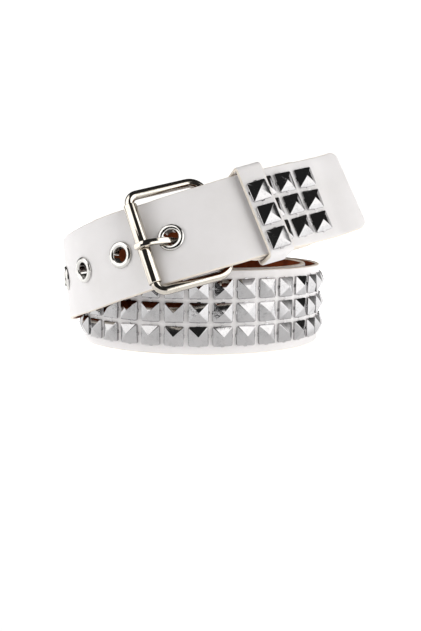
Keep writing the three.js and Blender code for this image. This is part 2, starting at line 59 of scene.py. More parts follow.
# Columns: turn in degrees, radius as a share of the coil's, layers inwards, rise as a share of the
# tip's, lean of the upper edge outwards in degrees, and 1 where the strap lies behind the tip.
route_sections = np.array([
    (8.5, 1.0505, -1, 0.713, -23.2, 1),
    (25, 1.033, -1, 0.814, -24.5, 1),
    (38, 1.041, -1, 0.871, -22.4, 1),
    (50, 1.02, 0, 0.89, -20, 0),
    (62, 0.973, 0.3, 0.897, -17, 0),
    (78, 0.968, 1, 0.892, -13, 0),
    (95, 0.966, 1.5, 0.87, -10, 0),
    (115, 0.979, 2, 0.8, -6, 0),
    (140, 0.963, 2, 0.68, -3, 0),
    (180, 0.953, 2, 0.5, 0, 0),
    (225, 0.955, 2, 0.29, 0, 0),
    (265, 0.962, 2, 0.11, 0, 0),
    (295, 0.972, 2, 0.02, 0, 0),
    (320, 0.98, 2, 0, 0, 0),
    (360, 1, 1.6, 0, 0, 0),
    (400, 1, 1.2, 0, 0, 0),
    (450, 0.99, 1, 0, 0, 0),
    (495, 0.965, 1, 0, 0, 0),
    (540, 0.953, 1, 0, 0, 0),
    (585, 0.955, 1, 0, 0, 0),
    (620, 0.965, 1, 0, 0, 0),
    (645, 0.981, 0.6, 0, 0, 0),
    (670, 1.007, 0.2, 0, 0, 0),
    (700, 1, 0, 0, 0, 0),
    (780, 1, 0, 0, 0, 0),
    (810, 0.99, 0, 0, 0, 0),
    (855, 0.965, 0, 0, 0, 0),
    (900, 0.953, 0, 0, 0, 0),
    (940, 0.966, 0, 0.018, 3, 0),
    (970, 1.013, 0, 0.1, 6.5, 0),
    (990, 1.006, -0.15, 0.118, 3.2, 0),
    (1010, 1.031, -0.35, 0.183, 4.5, 0),
    (1030, 1.029, -0.8, 0.28, 4.4, 0),
    (1050, 1.033, -1, 0.425, -2.8, 0),
    (1062, 1.048, -1, 0.515, -11.2, 0),
    (1070, 1.06, -1, 0.581, -18.5, 0),
    (1088.5, 1.0505, -1, 0.713, -23.2, 0),
    (1105, 1.033, -1, 0.814, -24.5, 0),
    (1118, 1.041, -1, 0.871, -22.4, 0),
    (1130, 1.106, -1, 0.933, -20.6, 0),
    (1138.25, 1.215, -1, 1.004, -20.6, 0),
])


def smooth_column(places, values, at):
    """A curve through the values that never overshoots them: each row's slope is the weighted
    harmonic mean of the rates beside it, and 0 where those have different signs."""
    steps = np.diff(places)
    rates = np.diff(values) / steps
    before = 2 * steps[1:] + steps[:-1]
    after = steps[1:] + 2 * steps[:-1]
    one_way = rates[:-1] * rates[1:] > 0
    safe_first = np.where(one_way, rates[:-1], 1)
    safe_last = np.where(one_way, rates[1:], 1)
    middle = np.where(one_way, (before + after) / (before / safe_first + after / safe_last), 0)
    slopes = np.concatenate([rates[:1], middle, rates[-1:]])
    i = np.clip(np.searchsorted(places, at, side="right") - 1, 0, len(steps) - 1)
    t = np.clip((at - places[i]) / steps[i], 0, 1)
    straight = values[i] + (values[i + 1] - values[i]) * t
    leaving = (slopes[i] - rates[i]) * t * (1 - t) ** 2 * steps[i]
    arriving = (rates[i] - slopes[i + 1]) * t**2 * (1 - t) * steps[i]
    return straight + leaving + arriving


def unit(vectors):
    """Each vector divided by its own length."""
    return vectors / np.linalg.norm(vectors, axis=-1, keepdims=True)


turn_step = 0.5
route_turns = np.arange(route_sections[0, 0], route_sections[-1, 0] + turn_step / 2, turn_step)
section_turns, radius_shares, layers_in, rise_shares, section_leans, lies_behind = route_sections.T
tilts = np.radians(section_leans)
radii = radius_shares * coil_radius - layers_in * layer_pitch
radii -= lies_behind * behind_offset * np.cos(tilts)
heights = strap_width / 2 + rise_shares * tip_rise + lies_behind * behind_offset * np.sin(tilts)
route_radius = smooth_column(section_turns, radii, route_turns)
route_lean = np.radians(smooth_column(section_turns, section_leans, route_turns))
route_points = np.stack([
    axis_x + route_radius * np.sin(np.radians(route_turns)),
    axis_y - route_radius * np.cos(np.radians(route_turns)),
    smooth_column(section_turns, heights, route_turns),
], axis=-1)
route_steps = np.linalg.norm(np.diff(route_points, axis=0), axis=1)
route_lengths = np.concatenate([[0], np.cumsum(route_steps)])
route_length = route_lengths[-1]


def point_at(lengths):
    """Points of the route at lengths along it, straight on past either end."""
    i = np.clip(np.searchsorted(route_lengths, lengths, side="right"), 1, len(route_lengths) - 1)
    share = (lengths - route_lengths[i - 1]) / (route_lengths[i] - route_lengths[i - 1])
    return route_points[i - 1] + (route_points[i] - route_points[i - 1]) * share[..., None]


def make_frames(points, travel, rough_across):
    """Points with three square directions: along the travel, across it, and out, their cross product."""
    along = unit(travel)
    across = unit(rough_across - along * np.sum(rough_across * along, axis=-1, keepdims=True))
    return {"point": points, "along": along, "across": across, "out": np.cross(along, across)}


def strap_frames(lengths):
    """Frames of the strap's face: across is upwards, leaning by the route's lean at that length."""
    lengths = np.atleast_1d(np.asarray(lengths, float))
    reach = 0.8 * MM
    lean = np.interp(lengths, route_lengths, route_lean)[:, None]
    travel = point_at(lengths + reach) - point_at(lengths - reach)
    up = np.array([0, 0, 1.0])
    level = unit(np.cross(travel, up))
    return make_frames(point_at(lengths), travel, np.cos(lean) * up + np.sin(lean) * level)


def place(frames, along, across, out):
    """Points at those distances in each frame: the frame's point plus each distance in its direction."""
    directions = (frames["along"], frames["across"], frames["out"])
    point = frames["point"]
    for direction, distance in zip(directions, (along, across, out)):
        point = point + direction * np.asarray(distance, float)[..., None]
    return point


def length_at_turn(turn):
    """Length along the route at an angle."""
    return route_lengths[np.searchsorted(route_turns, turn)]


# Where the buckle sits on the route. The hinge bar is at the start of the route, behind the tip's
# end of the strap, and the roller lies across the strap's face before it. The rod between them, the
# prong and the fold share those two places. The fold sits 2.2 mm below the hinge bar's middle.
roller_radius = 2.9 * MM
rod_radius = 2 * MM
fold_gap = 0.4 * MM
fold_radius = leather_thickness + fold_gap + rod_radius
hinge_shift = 2.2 * MM
roller_gap = 0.9 * MM
hole_to_roller = 11.3 * MM
hole_to_hinge = 21.6 * MM
hinge_turn = 1088.5
first_hole = length_at_turn(hinge_turn) - hole_to_hinge

strap_start = strap_frames(0)
hinge_middle = place(strap_start, 0, hinge_shift, -fold_radius)
roller_seat = strap_frames(first_hole - hole_to_roller)
roller_centre = place(roller_seat, 0, 0, roller_radius + roller_gap)
frame_length = np.linalg.norm(hinge_middle - roller_centre)
bar_direction = roller_seat["across"] + strap_start["across"]
bar_direction -= roller_seat["out"] * np.sum(bar_direction * roller_seat["out"])
buckle_place = make_frames((roller_centre + hinge_middle) / 2, hinge_middle - roller_centre, bar_direction)
bar = buckle_place["across"]
hinge_along = unit(strap_start["along"] - bar * np.sum(strap_start["along"] * bar))
hinge_point = hinge_middle - bar * hinge_shift / np.sum(bar * strap_start["across"])
hinge_place = make_frames(hinge_point, hinge_along, bar)


# The strap: 1.9 mm of coated white leather, 38 mm wide, cut round at the tip's corners and
# narrowed to 28 mm where it folds back round the hinge bar. Its long edges are rounded, and their cream
# colour is partly edge paint and partly painted shade.
# Round holes for the eyelets and a slot for the prong are punched through it.
fold_width = 28 * MM
fold_length = 34 * MM
fold_widening = 12 * MM
tip_corner = 4 * MM
face_round = 0.75 * MM
back_round = 0.35 * MM
eyelet_count = 5
eyelet_pitch = 25.2 * MM
hole_radius = 4.2 * MM
slot_width = 4 * MM
slot_reach = rod_radius + 2.6 * MM
keeper_room = 3.3 * MM
route_rows = 760
corner_rows = 14
white_face = (0.8, 0.783, 0.788, 1)
white_shade = (0.755, 0.737, 0.735, 1)
# The edges' cream colour is partly edge paint and partly painted shade.
edge_paint_and_shade = (0.76, 0.69, 0.60, 1)


def pick(frames, index):
    """The frames at an index, or the same frames with a new axis where the index is None."""
    return {name: values[index] for name, values in frames.items()}


def smooth_step(value, low, high):
    """0 below low, 1 above high, and t squared times 3 minus 2 t between them."""
    t = np.clip((value - low) / (high - low), 0, 1)
    return t * t * (3 - 2 * t)


def make_piece(name, points, faces, material, uv=None, smooth_angle=35):
    """A mesh object from points and faces, smooth apart from edges sharper than the angle."""
    mesh = bpy.data.meshes.new(name)
    mesh.from_pydata(points.tolist(), [], faces)
    if uv is not None:
        layer = mesh.uv_layers.new(name="strap")
        corners = np.empty(len(mesh.loops), np.int32)
        mesh.loops.foreach_get("vertex_index", corners)
        layer.data.foreach_set("uv", uv[corners].astype(np.float32).ravel())
    mesh.shade_smooth()
    mesh.set_sharp_from_angle(angle=np.radians(smooth_angle))
    mesh.materials.append(material)
    piece = bpy.data.objects.new(name, mesh)
    bpy.context.scene.collection.objects.link(piece)
    return piece


def grid_faces(rows, columns, closed_rows=False):
    """Quads of rows of rings, each ring closed. Closed rows join the last ring to the first."""
    i = np.arange(rows if closed_rows else rows - 1)[:, None]
    j = np.arange(columns)[None, :]
    next_i = (i + 1) % rows
    next_j = (j + 1) % columns
    corners = [i * columns + j, i * columns + next_j, next_i * columns + next_j, next_i * columns + j]
    return np.stack(np.broadcast_arrays(*corners), axis=-1).reshape(-1, 4)


class Wire:
    """One output in a node tree. Each operator adds the Math node of its name."""

    def __init__(self, nodes, socket):
        self.nodes = nodes
        self.socket = socket

    def math(self, operation, *values):
        """The result of a Math node on the values, which are wires or plain numbers."""
        return self.nodes.add("Math", {"operation": operation}, dict(enumerate(values)))

    def __add__(self, other):
        return self.math("ADD", self, other)

    def __sub__(self, other):
        return self.math("SUBTRACT", self, other)

    def __rsub__(self, other):
        return self.math("SUBTRACT", other, self)

    def __mul__(self, other):
        return self.math("MULTIPLY", self, other)

    def between(self, low, high):
        """0 at low, 1 at high, smooth between them."""
        settings = {"interpolation_type": "SMOOTHSTEP"}
        return self.nodes.add("MapRange", settings, {"Value": self, "From Min": low, "From Max": high})


class Nodes:
    """The node tree of a material, or of the studio round the belt."""

    def __init__(self, owner):
        owner.use_nodes = True
        self.tree = owner.node_tree

    def feed(self, node, socket, value):
        """Links a wire to a socket, or sets the socket's own value."""
        if isinstance(value, Wire):
            self.tree.links.new(value.socket, node.inputs[socket])
        else:
            node.inputs[socket].default_value = value

    def add(self, kind, settings, sockets, output=0):
        """Adds a node: its settings first, then the values or links of its sockets."""
        made = self.tree.nodes.new("ShaderNode" + kind)
        for setting, value in settings.items():
            setattr(made, setting, value)
        for socket, value in sockets.items():
            self.feed(made, socket, value)
        return Wire(self, made.outputs[output])

    def place(self):
        """The point's own place on the belt, in metres."""
        return self.add("TexCoord", {}, {}, "Object")

    def noise(self, scale, detail, roughness):
        """Clouds from 0 to 1, about scale of them a metre."""
        sockets = {"Vector": self.place(), "Scale": scale, "Detail": detail, "Roughness": roughness}
        return self.add("TexNoise", {}, sockets)

    def mix(self, share, first, second):
        """The first colour where the share is 0, the second where it is 1."""
        return self.add("Mix", {"data_type": "RGBA"}, {0: share, 6: first, 7: second}, 2)

    def bump(self, height, distance, strength):
        """Surface relief from a height of 0 to 1 that stands for distance metres."""
        return self.add("Bump", {}, {"Height": height, "Distance": distance, "Strength": strength})


def new_finish(name, **sockets):
    """A material with constant values on its shader: returns the material, its nodes and shader."""
    material = bpy.data.materials.new(name)
    nodes = Nodes(material)
    shader = nodes.tree.nodes["Principled BSDF"]
    for socket, value in sockets.items():
        nodes.feed(shader, socket.replace("_", " "), value)
    return material, nodes, shader


def white_leather(name):
    """Coated leather with a fine grain. The UV map's second number is 0 on the face, 1 on the edge, where
    the cream colour is partly edge paint and partly painted shade.
    """
    material, nodes, shader = new_finish(name, IOR=1.45, Specular_IOR_Level=0.4)
    edge = nodes.add("SeparateXYZ", {}, {0: nodes.add("TexCoord", {}, {}, "UV")}, "Y")
    clouds = nodes.noise(45.0, 4.0, 0.6)
    grain = nodes.noise(2400.0, 3.0, 0.65)
    pores = nodes.add(
        "TexVoronoi", {"feature": "DISTANCE_TO_EDGE"}, {"Vector": nodes.place(), "Scale": 1400.0})
    body = nodes.mix(clouds.between(0.3, 0.75), white_face, white_shade)
    # Painted shade: the cream on the rounded edges stands partly for shade, partly for edge paint.
    painted = (edge + (clouds - 0.5) * 0.4).between(0.3, 0.95)
    nodes.feed(shader, "Base Color", nodes.mix(painted, body, edge_paint_and_shade))
    nodes.feed(shader, "Roughness", clouds * 0.12 + grain * 0.1 + 0.38)
    relief = pores.between(0.0, 0.3) * 0.6 + grain * 0.4
    nodes.feed(shader, "Normal", nodes.bump(relief, 0.00005, 0.3))
    return material


def band_frames(lengths):
    """The strap's frames, turned parallel to the hinge bar within 12 mm of it."""
    frames = strap_frames(lengths)
    share = smooth_step(np.asarray(lengths), 0, fold_widening)[:, None]
    across = hinge_place["across"] * (1 - share) + frames["across"] * share
    return make_frames(frames["point"], frames["along"], across)


def flap_depth(distance):
    """Depth of the folded end's outer face below the strap's face. The keeper's back wall, 1.8 mm
    thick, passes between the two with 0.7 mm and 0.8 mm of room."""
    share = smooth_step(distance, 0, fold_widening)
    flat_depth = strap_thickness + keeper_room + leather_thickness
    return 2 * fold_radius * (1 - share) + flat_depth * share


def fold_frames():
    """Frames of the folded end: the flap from its free end to the bar, in steps that shorten towards
    the bar, then half round the bar."""
    flap_rows = 30
    bar_rows = 24
    distances = fold_length * np.linspace(1, 0, flap_rows, endpoint=False) ** 1.3
    flap = band_frames(distances)
    flap_points = place(flap, 0, 0, -flap_depth(distances))
    angles = np.pi * (1 - np.arange(bar_rows) / bar_rows)[:, None]
    bar_points = hinge_place["point"] + fold_radius * (
        hinge_place["out"] * np.cos(angles) - hinge_place["along"] * np.sin(angles))
    points = np.concatenate([flap_points, bar_points])
    across = np.concatenate([flap["across"], np.repeat(hinge_place["across"], len(angles), axis=0)])
    travel = np.diff(np.concatenate([points, strap_start["point"]]), axis=0)
    travel[1:] += travel[:-1].copy()
    return make_frames(points, travel, across)


def half_width(lengths):
    """Half the strap's width: widening from the fold, and round corners at the tip."""
    widening = smooth_step(lengths, 0, fold_widening)
    half = (fold_width * (1 - widening) + strap_width * widening) / 2
    into_corner = np.clip(lengths - (route_length - tip_corner), 0, tip_corner)
    return half - (tip_corner - np.sqrt(tip_corner**2 - into_corner**2))


def band_ring(half, inset, face_depth, thickness, round_face, round_back):
    """Section of a flat band, once round from its upper edge: straight face and back, quarter
    circles at the four edges. Inset draws the whole ring inwards. Gives across, out and edge share."""
    turn = np.linspace(0, np.pi / 2, 5)
    steps = np.linspace(1, -1, 9)
    half, inset = np.broadcast_arrays(half[:, None], inset[:, None])
    face = (half - round_face) * steps
    side_face = half - round_face + round_face * np.sin(turn[1:])
    side_back = half - round_back + round_back * np.cos(turn)
    across = [face, -side_face, -side_back, -(half - round_back) * steps[1:-1],
              side_back[:, ::-1], side_face[:, ::-1]]
    rise_face = -round_face * (1 - np.cos(turn[1:]))
    rise_back = -thickness + round_back * (1 - np.sin(turn))
    out = [0 * steps, rise_face, rise_back, 0 * steps[1:-1] - thickness, rise_back[::-1], rise_face[::-1]]
    rim = np.clip(np.sin(turn[1:]) * 1.2, 0, 1)
    side = np.ones(len(turn))
    edge = [0 * steps, rim, side, 0.6 + 0 * steps[1:-1], side, rim[::-1]]
    across = np.concatenate(across, axis=1)
    out = np.concatenate(out)[None, :]
    shrink = 1 - inset / half
    middle = -thickness / 2
    squeeze = 1 - inset / (thickness / 2)
    across = across * shrink
    out = middle + (out - middle) * np.clip(squeeze, 0, 1) - face_depth
    return across, np.broadcast_to(out, across.shape), np.broadcast_to(np.concatenate(edge), across.shape)


def add_end(faces, first, columns, turned):
    """One many-sided face that closes the end ring of a grid."""
    ring = list(range(first, first + columns))
    return faces + [ring[::-1] if turned else ring]


def band_piece(name, material, frames, half, inset, face_depth, thickness, round_face, round_back):
    """A closed band: one section ring at each frame, quads between them and a face on both ends."""
    across, out, edge = band_ring(half, inset, face_depth, thickness, round_face, round_back)
    wide = pick(frames, np.s_[:, None, :])
    points = place(wide, 0 * across, across, out)
    rows, columns = across.shape
    faces = grid_faces(rows, columns).tolist()
    faces = add_end(faces, 0, columns, False)
    faces = add_end(faces, (rows - 1) * columns, columns, True)
    row_share = np.arange(rows)[:, None] * 0.001 + 0 * across
    uv = np.stack([row_share, edge], axis=-1).reshape(-1, 2)
    return make_piece(name, points.reshape(-1, 3), faces, material, uv)


def end_inset(distance, radius):
    """How far a rounded end is drawn in at a distance from it: the radius times 1 minus the root of t
    times 2 minus t, where t is the distance as a share of the radius."""
    t = np.clip(distance / radius, 0, 1)
    return radius * (1 - np.sqrt(t * (2 - t)))


def punch(piece, points, faces):
    """Cuts a closed shape out of a piece, and keeps the result as the piece's mesh."""
    mesh = bpy.data.meshes.new("punch")
    mesh.from_pydata(points.tolist(), [], faces)
    tool = bpy.data.objects.new("punch", mesh)
    bpy.context.scene.collection.objects.link(tool)
    cut = piece.modifiers.new("punch", "BOOLEAN")
    cut.operation = "DIFFERENCE"
    cut.solver = "EXACT"
    cut.object = tool
    view = bpy.context.evaluated_depsgraph_get()
    result = bpy.data.meshes.new_from_object(piece.evaluated_get(view))
    piece.modifiers.clear()
    piece.data = result
    bpy.data.objects.remove(tool)


eyelet_places = strap_frames(first_hole - np.arange(eyelet_count) * eyelet_pitch)


def punch_openings(piece):
    """Punches the five round holes and the prong's slot."""
    sides = 40
    above_face = 4 * MM
    below_back = 8 * MM
    angles = np.linspace(0, 2 * np.pi, sides, endpoint=False)
    depths = np.array([above_face, -below_back])[:, None]
    along, out = np.broadcast_arrays(hole_radius * np.cos(angles), depths)
    across = np.broadcast_to(hole_radius * np.sin(angles), along.shape)
    wide = pick(eyelet_places, np.s_[:, None, None, :])
    plugs = place(wide, along[None], across[None], out[None]).reshape(-1, 3)
    faces = []
    for hole in range(eyelet_count):
        start = 2 * sides * hole
        faces += (grid_faces(2, sides)[:, ::-1] + start).tolist()
        faces = add_end(faces, start, sides, False)
        faces = add_end(faces, start + sides, sides, True)
    punch(piece, plugs, faces)
    past_fold = 1.5 * fold_radius
    corners = np.array([(x, y, z) for x in (-past_fold, slot_reach)
                        for y in (-slot_width / 2, slot_width / 2)
                        for z in (-past_fold, past_fold)])
    block = place(hinge_place, *corners.T)
    block_faces = [(0, 1, 3, 2), (4, 6, 7, 5), (0, 4, 5, 1), (2, 3, 7, 6), (0, 2, 6, 4), (1, 5, 7, 3)]
    punch(piece, block, block_faces)


leather_steps = np.concatenate([
    np.linspace(0, route_length - tip_corner, route_rows, endpoint=False),
    route_length - tip_corner * (1 - np.sin(np.linspace(0, np.pi / 2, corner_rows))),
])
route_part = band_frames(leather_steps)
fold_part = fold_frames()
strap_places = {name: np.concatenate([fold_part[name], route_part[name]]) for name in route_part}
strap_half = np.concatenate([np.full(len(fold_part["point"]), fold_width / 2), half_width(leather_steps)])
strap_inset = np.concatenate([
    np.zeros(len(fold_part["point"])), end_inset(route_length - leather_steps, face_round)])
white = white_leather("white_leather")
strap = band_piece(
    "strap_leather", white, strap_places, strap_half, strap_inset, 0,
    leather_thickness, face_round, back_round)
punch_openings(strap)
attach(strap, "root")
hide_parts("strap")


# The lining: a band of brown suede, 1 mm thick, glued behind the leather all along the coil. It
# starts 5 mm after the hinge bar, because only the leather goes round the bar.
lining_start = 4.6 * MM
lining_inset = 0.5 * MM
lining_round = 0.2 * MM
lining_end_round = 0.3 * MM
suede_brown = (0.18, 0.038, 0.008, 1)
suede_dark = (0.09, 0.017, 0.004, 1)


def brown_suede(name):
    """Short brushed nap: rough, with little gloss, light and dark clouds and fine fibres."""
    material, nodes, shader = new_finish(name, Specular_IOR_Level=0.1)
    clouds = nodes.noise(120.0, 4.0, 0.6)
    fibres = nodes.noise(5200.0, 3.0, 0.7)
    shade = (clouds * 0.6 + fibres * 0.4).between(0.35, 0.65)
    nodes.feed(shader, "Base Color", nodes.mix(shade, suede_dark, suede_brown))
    nodes.feed(shader, "Roughness", fibres * 0.2 + 0.75)
    nodes.feed(shader, "Normal", nodes.bump(fibres, 0.00015, 0.6))
    return material


lining_steps = leather_steps[leather_steps >= lining_start]
lining_places = band_frames(lining_steps)
lining = band_piece(
    "lining_suede", brown_suede("brown_suede"), lining_places,
    half_width(lining_steps) - lining_inset, end_inset(route_length - lining_steps, lining_end_round),
    leather_thickness + lining_gap, lining_thickness, lining_round, lining_round)
punch_openings(lining)
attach(lining, "root")
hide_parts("lining")


# The studs: stamped chromed caps, 8.8 mm square and 2.8 mm high, in three rows. Each is a pyramid on
# a low wall, with a small round lug at the middle of each side, where its prongs bend through the
# leather. They are set by hand, so each one sits a degree or two off square.
stud_half = 4.4 * MM
stud_pitch = 10.8 * MM
stud_row_pitch = 10.56 * MM
front_stud_offset = 2.1 * MM
front_turn = 720
first_stud_turn = 54
bare_by_holes = 15 * MM
tip_stud_margin = 21.5 * MM
stud_tilt = 0.026
chrome_grey = (0.43, 0.425, 0.43, 1)
chrome_dull = (0.35, 0.345, 0.35, 1)


def bright_metal(name, clean, dull, smooth, rough, ripple):
    """Polished plating: two close tints, a roughness that varies a little, and faint ripples."""
    material, nodes, shader = new_finish(name, Metallic=1.0)
    clouds = nodes.noise(260.0, 3.0, 0.6)
    scuffs = nodes.noise(1800.0, 4.0, 0.7)
    worn = (clouds * 0.5 + scuffs * 0.5).between(0.45, 0.7)
    nodes.feed(shader, "Base Color", nodes.mix(worn, clean, dull))
    nodes.feed(shader, "Roughness", worn * (rough - smooth) + smooth)
    nodes.feed(shader, "Normal", nodes.bump(clouds, ripple, 0.25))
    return material


def stud_shape():
    """One stud's points and faces. Rings of eight points, a square with small cut corners, rise from
    the leather to the tip: wall, bend, swelling flank and tip. Four lugs stand at the sides."""
    half = np.array([1.0, 1.0, 0.96, 0.75, 0.42, 0.02]) * stud_half
    rise = np.array([-0.1, 0.25, 0.31, 0.48, 0.71, 0.935]) * stud_height
    cut = np.array([0.5, 0.5, 0.3, 0.22, 0.12, 0.03]) * MM
    signs = np.array([(1, 1), (-1, 1), (-1, -1), (1, -1)])
    first = np.array([(0, 1), (1, 0), (0, 1), (1, 0)])
    rings = []
    for half_size, height, corner in zip(half, rise, cut):
        square = signs * half_size
        ring = np.stack([square - signs * (1 - first) * corner, square - signs * first * corner], axis=1)
        flat = ring[:, ::-1].reshape(-1, 2)
        rings.append(np.column_stack([flat, np.full(8, height)]))
    points = np.concatenate(rings)
    faces = grid_faces(len(half), 8).tolist() + [list(range(8 * len(half) - 8, 8 * len(half)))]
    lug_draft = 0.985
    turn = np.array([[0, 1], [-1, 0]])
    lug = np.array([(0.85, -0.2), (0.85, 0.35), (0.45, 0.55), (-0.45, 0.55), (-0.85, 0.35), (-0.85, -0.2)])
    lug = lug * MM + np.array([0, stud_half])
    for quarter in range(4):
        flat = lug @ np.linalg.matrix_power(turn, quarter)
        start = len(points)
        low = np.column_stack([flat, np.full(6, -0.1 * stud_height)])
        high = np.column_stack([flat, np.full(6, 0.11 * stud_height)])
        high[1:5, :2] *= lug_draft
        points = np.concatenate([points, low, high])
        around = grid_faces(2, 6)[:, ::-1] + start
        faces += around.tolist() + [list(range(start + 11, start + 5, -1))]
    return points, faces


def set_studs(name, frames, seed):
    """A stud at each frame, all in one mesh, each turned and tipped by a small angle of its own."""
    shape, shape_faces = stud_shape()
    count = len(frames["point"])
    chance = np.random.default_rng(seed)
    tip = chance.normal(0, stud_tilt, (count, 1, 3))
    along, across, out = shape.T
    local = np.stack(np.broadcast_arrays(along, across, out), axis=-1)[None]
    local = local + np.cross(tip, local)
    wide = pick(frames, np.s_[:, None, :])
    points = place(wide, local[..., 0], local[..., 1], local[..., 2]).reshape(-1, 3)
    faces = [[corner + i * len(shape) for corner in face] for i in range(count) for face in shape_faces]
    return make_piece(name, points, faces, chrome, smooth_angle=14)


chrome = bright_metal("stud_chrome", chrome_grey, chrome_dull, smooth=0.07, rough=0.2, ripple=0.0002)
last_hole = first_hole - (eyelet_count - 1) * eyelet_pitch
column_start = length_at_turn(front_turn) + front_stud_offset
first_column = int(np.ceil((length_at_turn(first_stud_turn) - column_start) / stud_pitch))
last_column = int(np.floor((last_hole - bare_by_holes - column_start) / stud_pitch))
turn_columns = column_start + np.arange(first_column, last_column + 1) * stud_pitch
tip_columns = route_length - tip_stud_margin - np.array([2, 1, 0]) * stud_pitch
stud_columns = np.concatenate([turn_columns, tip_columns])
stud_rows = np.array([-1, 0, 1]) * stud_row_pitch
column_places = pick(strap_frames(stud_columns), np.s_[:, None, :])
row_points = place(column_places, 0 * stud_rows, stud_rows, 0 * stud_rows)
stud_places = {name: np.repeat(values, 3, axis=1).reshape(-1, 3) for name, values in column_places.items()}
stud_places["point"] = row_points.reshape(-1, 3)
studs = set_studs("strap_studs", stud_places, seed=11)
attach(studs, "root")
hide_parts("strap")


# The eyelets: five nickel tubes through the strap, rolled over into a round flange on its face. The
# strap's holes leave 0.3 mm round the tubes.
eyelet_bore = 3.3 * MM
eyelet_outer = 3.9 * MM
flange_radius = 5.9 * MM
flange_height = 1.1 * MM
flange_lift = 0.05 * MM
bore_top = -0.4 * MM
bore_foot = -3.1 * MM
bore_flare = 0.15 * MM
eyelet_clean = (0.6, 0.59, 0.57, 1)
eyelet_dull = (0.46, 0.45, 0.43, 1)


def lathe(name, frames, axis_of, radii, rises, sides, material):
    """Profiles of radius and rise turned about each frame's axis: out for an eyelet, across for a
    roller. The profile is a closed loop, so each copy is a ring grid that is closed both ways."""
    angles = np.linspace(0, 2 * np.pi, sides, endpoint=False)[:, None]
    first = radii * np.cos(angles)
    second = radii * np.sin(angles)
    rise = rises + 0 * angles
    wide = pick(frames, np.s_[:, None, None, :])
    if axis_of == "out":
        points = place(wide, first[None], second[None], rise[None])
    else:
        points = place(wide, second[None], rise[None], first[None])
    count = len(frames["point"])
    ring = grid_faces(sides, len(radii), closed_rows=True)
    faces = np.concatenate([ring + i * sides * len(radii) for i in range(count)])
    return make_piece(name, points.reshape(-1, 3), faces.tolist(), material)


eyelet_nickel = bright_metal(
    "eyelet_nickel", eyelet_clean, eyelet_dull, smooth=0.1, rough=0.22, ripple=0.0001)
roll = np.linspace(0, np.pi, 17)
roll_radii = (eyelet_bore + flange_radius) / 2 + (flange_radius - eyelet_bore) / 2 * np.cos(roll)
roll_rises = flange_lift + (flange_height - flange_lift) * np.sin(roll) ** 0.8
eyelet_radii = np.concatenate([
    [eyelet_outer, eyelet_outer], roll_radii, np.full(5, eyelet_bore), [eyelet_bore + bore_flare]])
eyelet_rises = np.concatenate([
    [-strap_thickness, 0], roll_rises, np.linspace(bore_top, bore_foot, 5), [-strap_thickness]])
for number in range(eyelet_count):
    one_place = pick(eyelet_places, np.s_[number:number + 1])
    eyelet = lathe(
        f"eyelet_ring_{number + 1}", one_place, "out", eyelet_radii, eyelet_rises, 56, eyelet_nickel)
    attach(eyelet, "root")
    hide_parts(f"eyelet_{number + 1}")


# The buckle frame: a 4 mm rod bent into a rectangle and nickel plated. Its front bar carries the
# roller and its hinge bar carries the strap's fold and the prong.
frame_width = 44.4 * MM
front_corner = 4 * MM
hinge_corner = 6.5 * MM
nickel_clean = (0.6, 0.56, 0.5, 1)
nickel_dull = (0.5, 0.46, 0.405, 1)


def rod_rectangle(corner_steps, rod_sides):
    """Rings of the rod: each corner is a quarter circle of its radius, and the sides are straight."""
    corners = ((1, 1, hinge_corner, 0), (-1, 1, front_corner, 90),
               (-1, -1, front_corner, 180), (1, -1, hinge_corner, 270))
    side = np.linspace(0, 2 * np.pi, rod_sides, endpoint=False)[None, :]
    rings = []
    for along, across, radius, start in corners:
        angle = np.radians(start + np.linspace(0, 90, corner_steps))[:, None]
        reach = radius + rod_radius * np.cos(side)
        x = along * (frame_length / 2 - radius) + reach * np.cos(angle)
        y = across * (frame_width / 2 - radius) + reach * np.sin(angle)
        rings.append(place(pick(buckle_place, np.s_[:, None, :]), x, y, -rod_radius * np.sin(side) + 0 * x))
    return np.concatenate(rings)


buckle_nickel = bright_metal(
    "buckle_nickel", nickel_clean, nickel_dull, smooth=0.05, rough=0.12, ripple=0.0001)
rod = rod_rectangle(corner_steps=16, rod_sides=36)
rod_faces = grid_faces(rod.shape[0], rod.shape[1], closed_rows=True)
buckle_frame = make_piece("buckle_rod", rod.reshape(-1, 3), rod_faces.tolist(), buckle_nickel)
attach(buckle_frame, "root")
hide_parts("buckle_frame")


# The roller: a plated tube, 36 mm long, that turns on the front bar with 0.3 mm of room. Its ends
# are lightly rounded.
roller_length = frame_width - 2 * front_corner
bar_clearance = 0.3 * MM
roller_bore = rod_radius + bar_clearance
end_round = 0.35 * MM
roller_half = roller_length / 2
bend = np.linspace(0, np.pi / 2, 5)
roller_radii = np.concatenate([
    [roller_bore], roller_radius - end_round + end_round * np.sin(bend),
    roller_radius - end_round + end_round * np.cos(bend), [roller_bore]])
roller_rises = np.concatenate([
    [-roller_half], -(roller_half - end_round + end_round * np.cos(bend)),
    roller_half - end_round + end_round * np.sin(bend), [roller_half]])
roller_place = dict(buckle_place, point=roller_centre)
roller = lathe("buckle_roller_tube", roller_place, "across", roller_radii, roller_rises, 72, buckle_nickel)
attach(roller, "root")
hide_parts("buckle_roller")


# The prong: flat nickel wire, 2.6 by 1.8 mm, bent into a ring round the hinge bar. Its arm comes up
# through the first eyelet, and its square end lies over the roller, a little askew.
prong_width = 2.6 * MM
prong_thickness = 1.8 * MM
prong_wall = 1.6 * MM
prong_skew = 1.8 * MM
arm_length = 40 * MM
arm_corner = 0.3 * MM
arm_end_round = 0.2 * MM
ring_corner = 0.35 * MM
roller_top = roller_gap + 2 * roller_radius + bar_clearance + prong_thickness / 2
hinge_depth = behind_offset + fold_radius
slope_half = 1.4 * MM

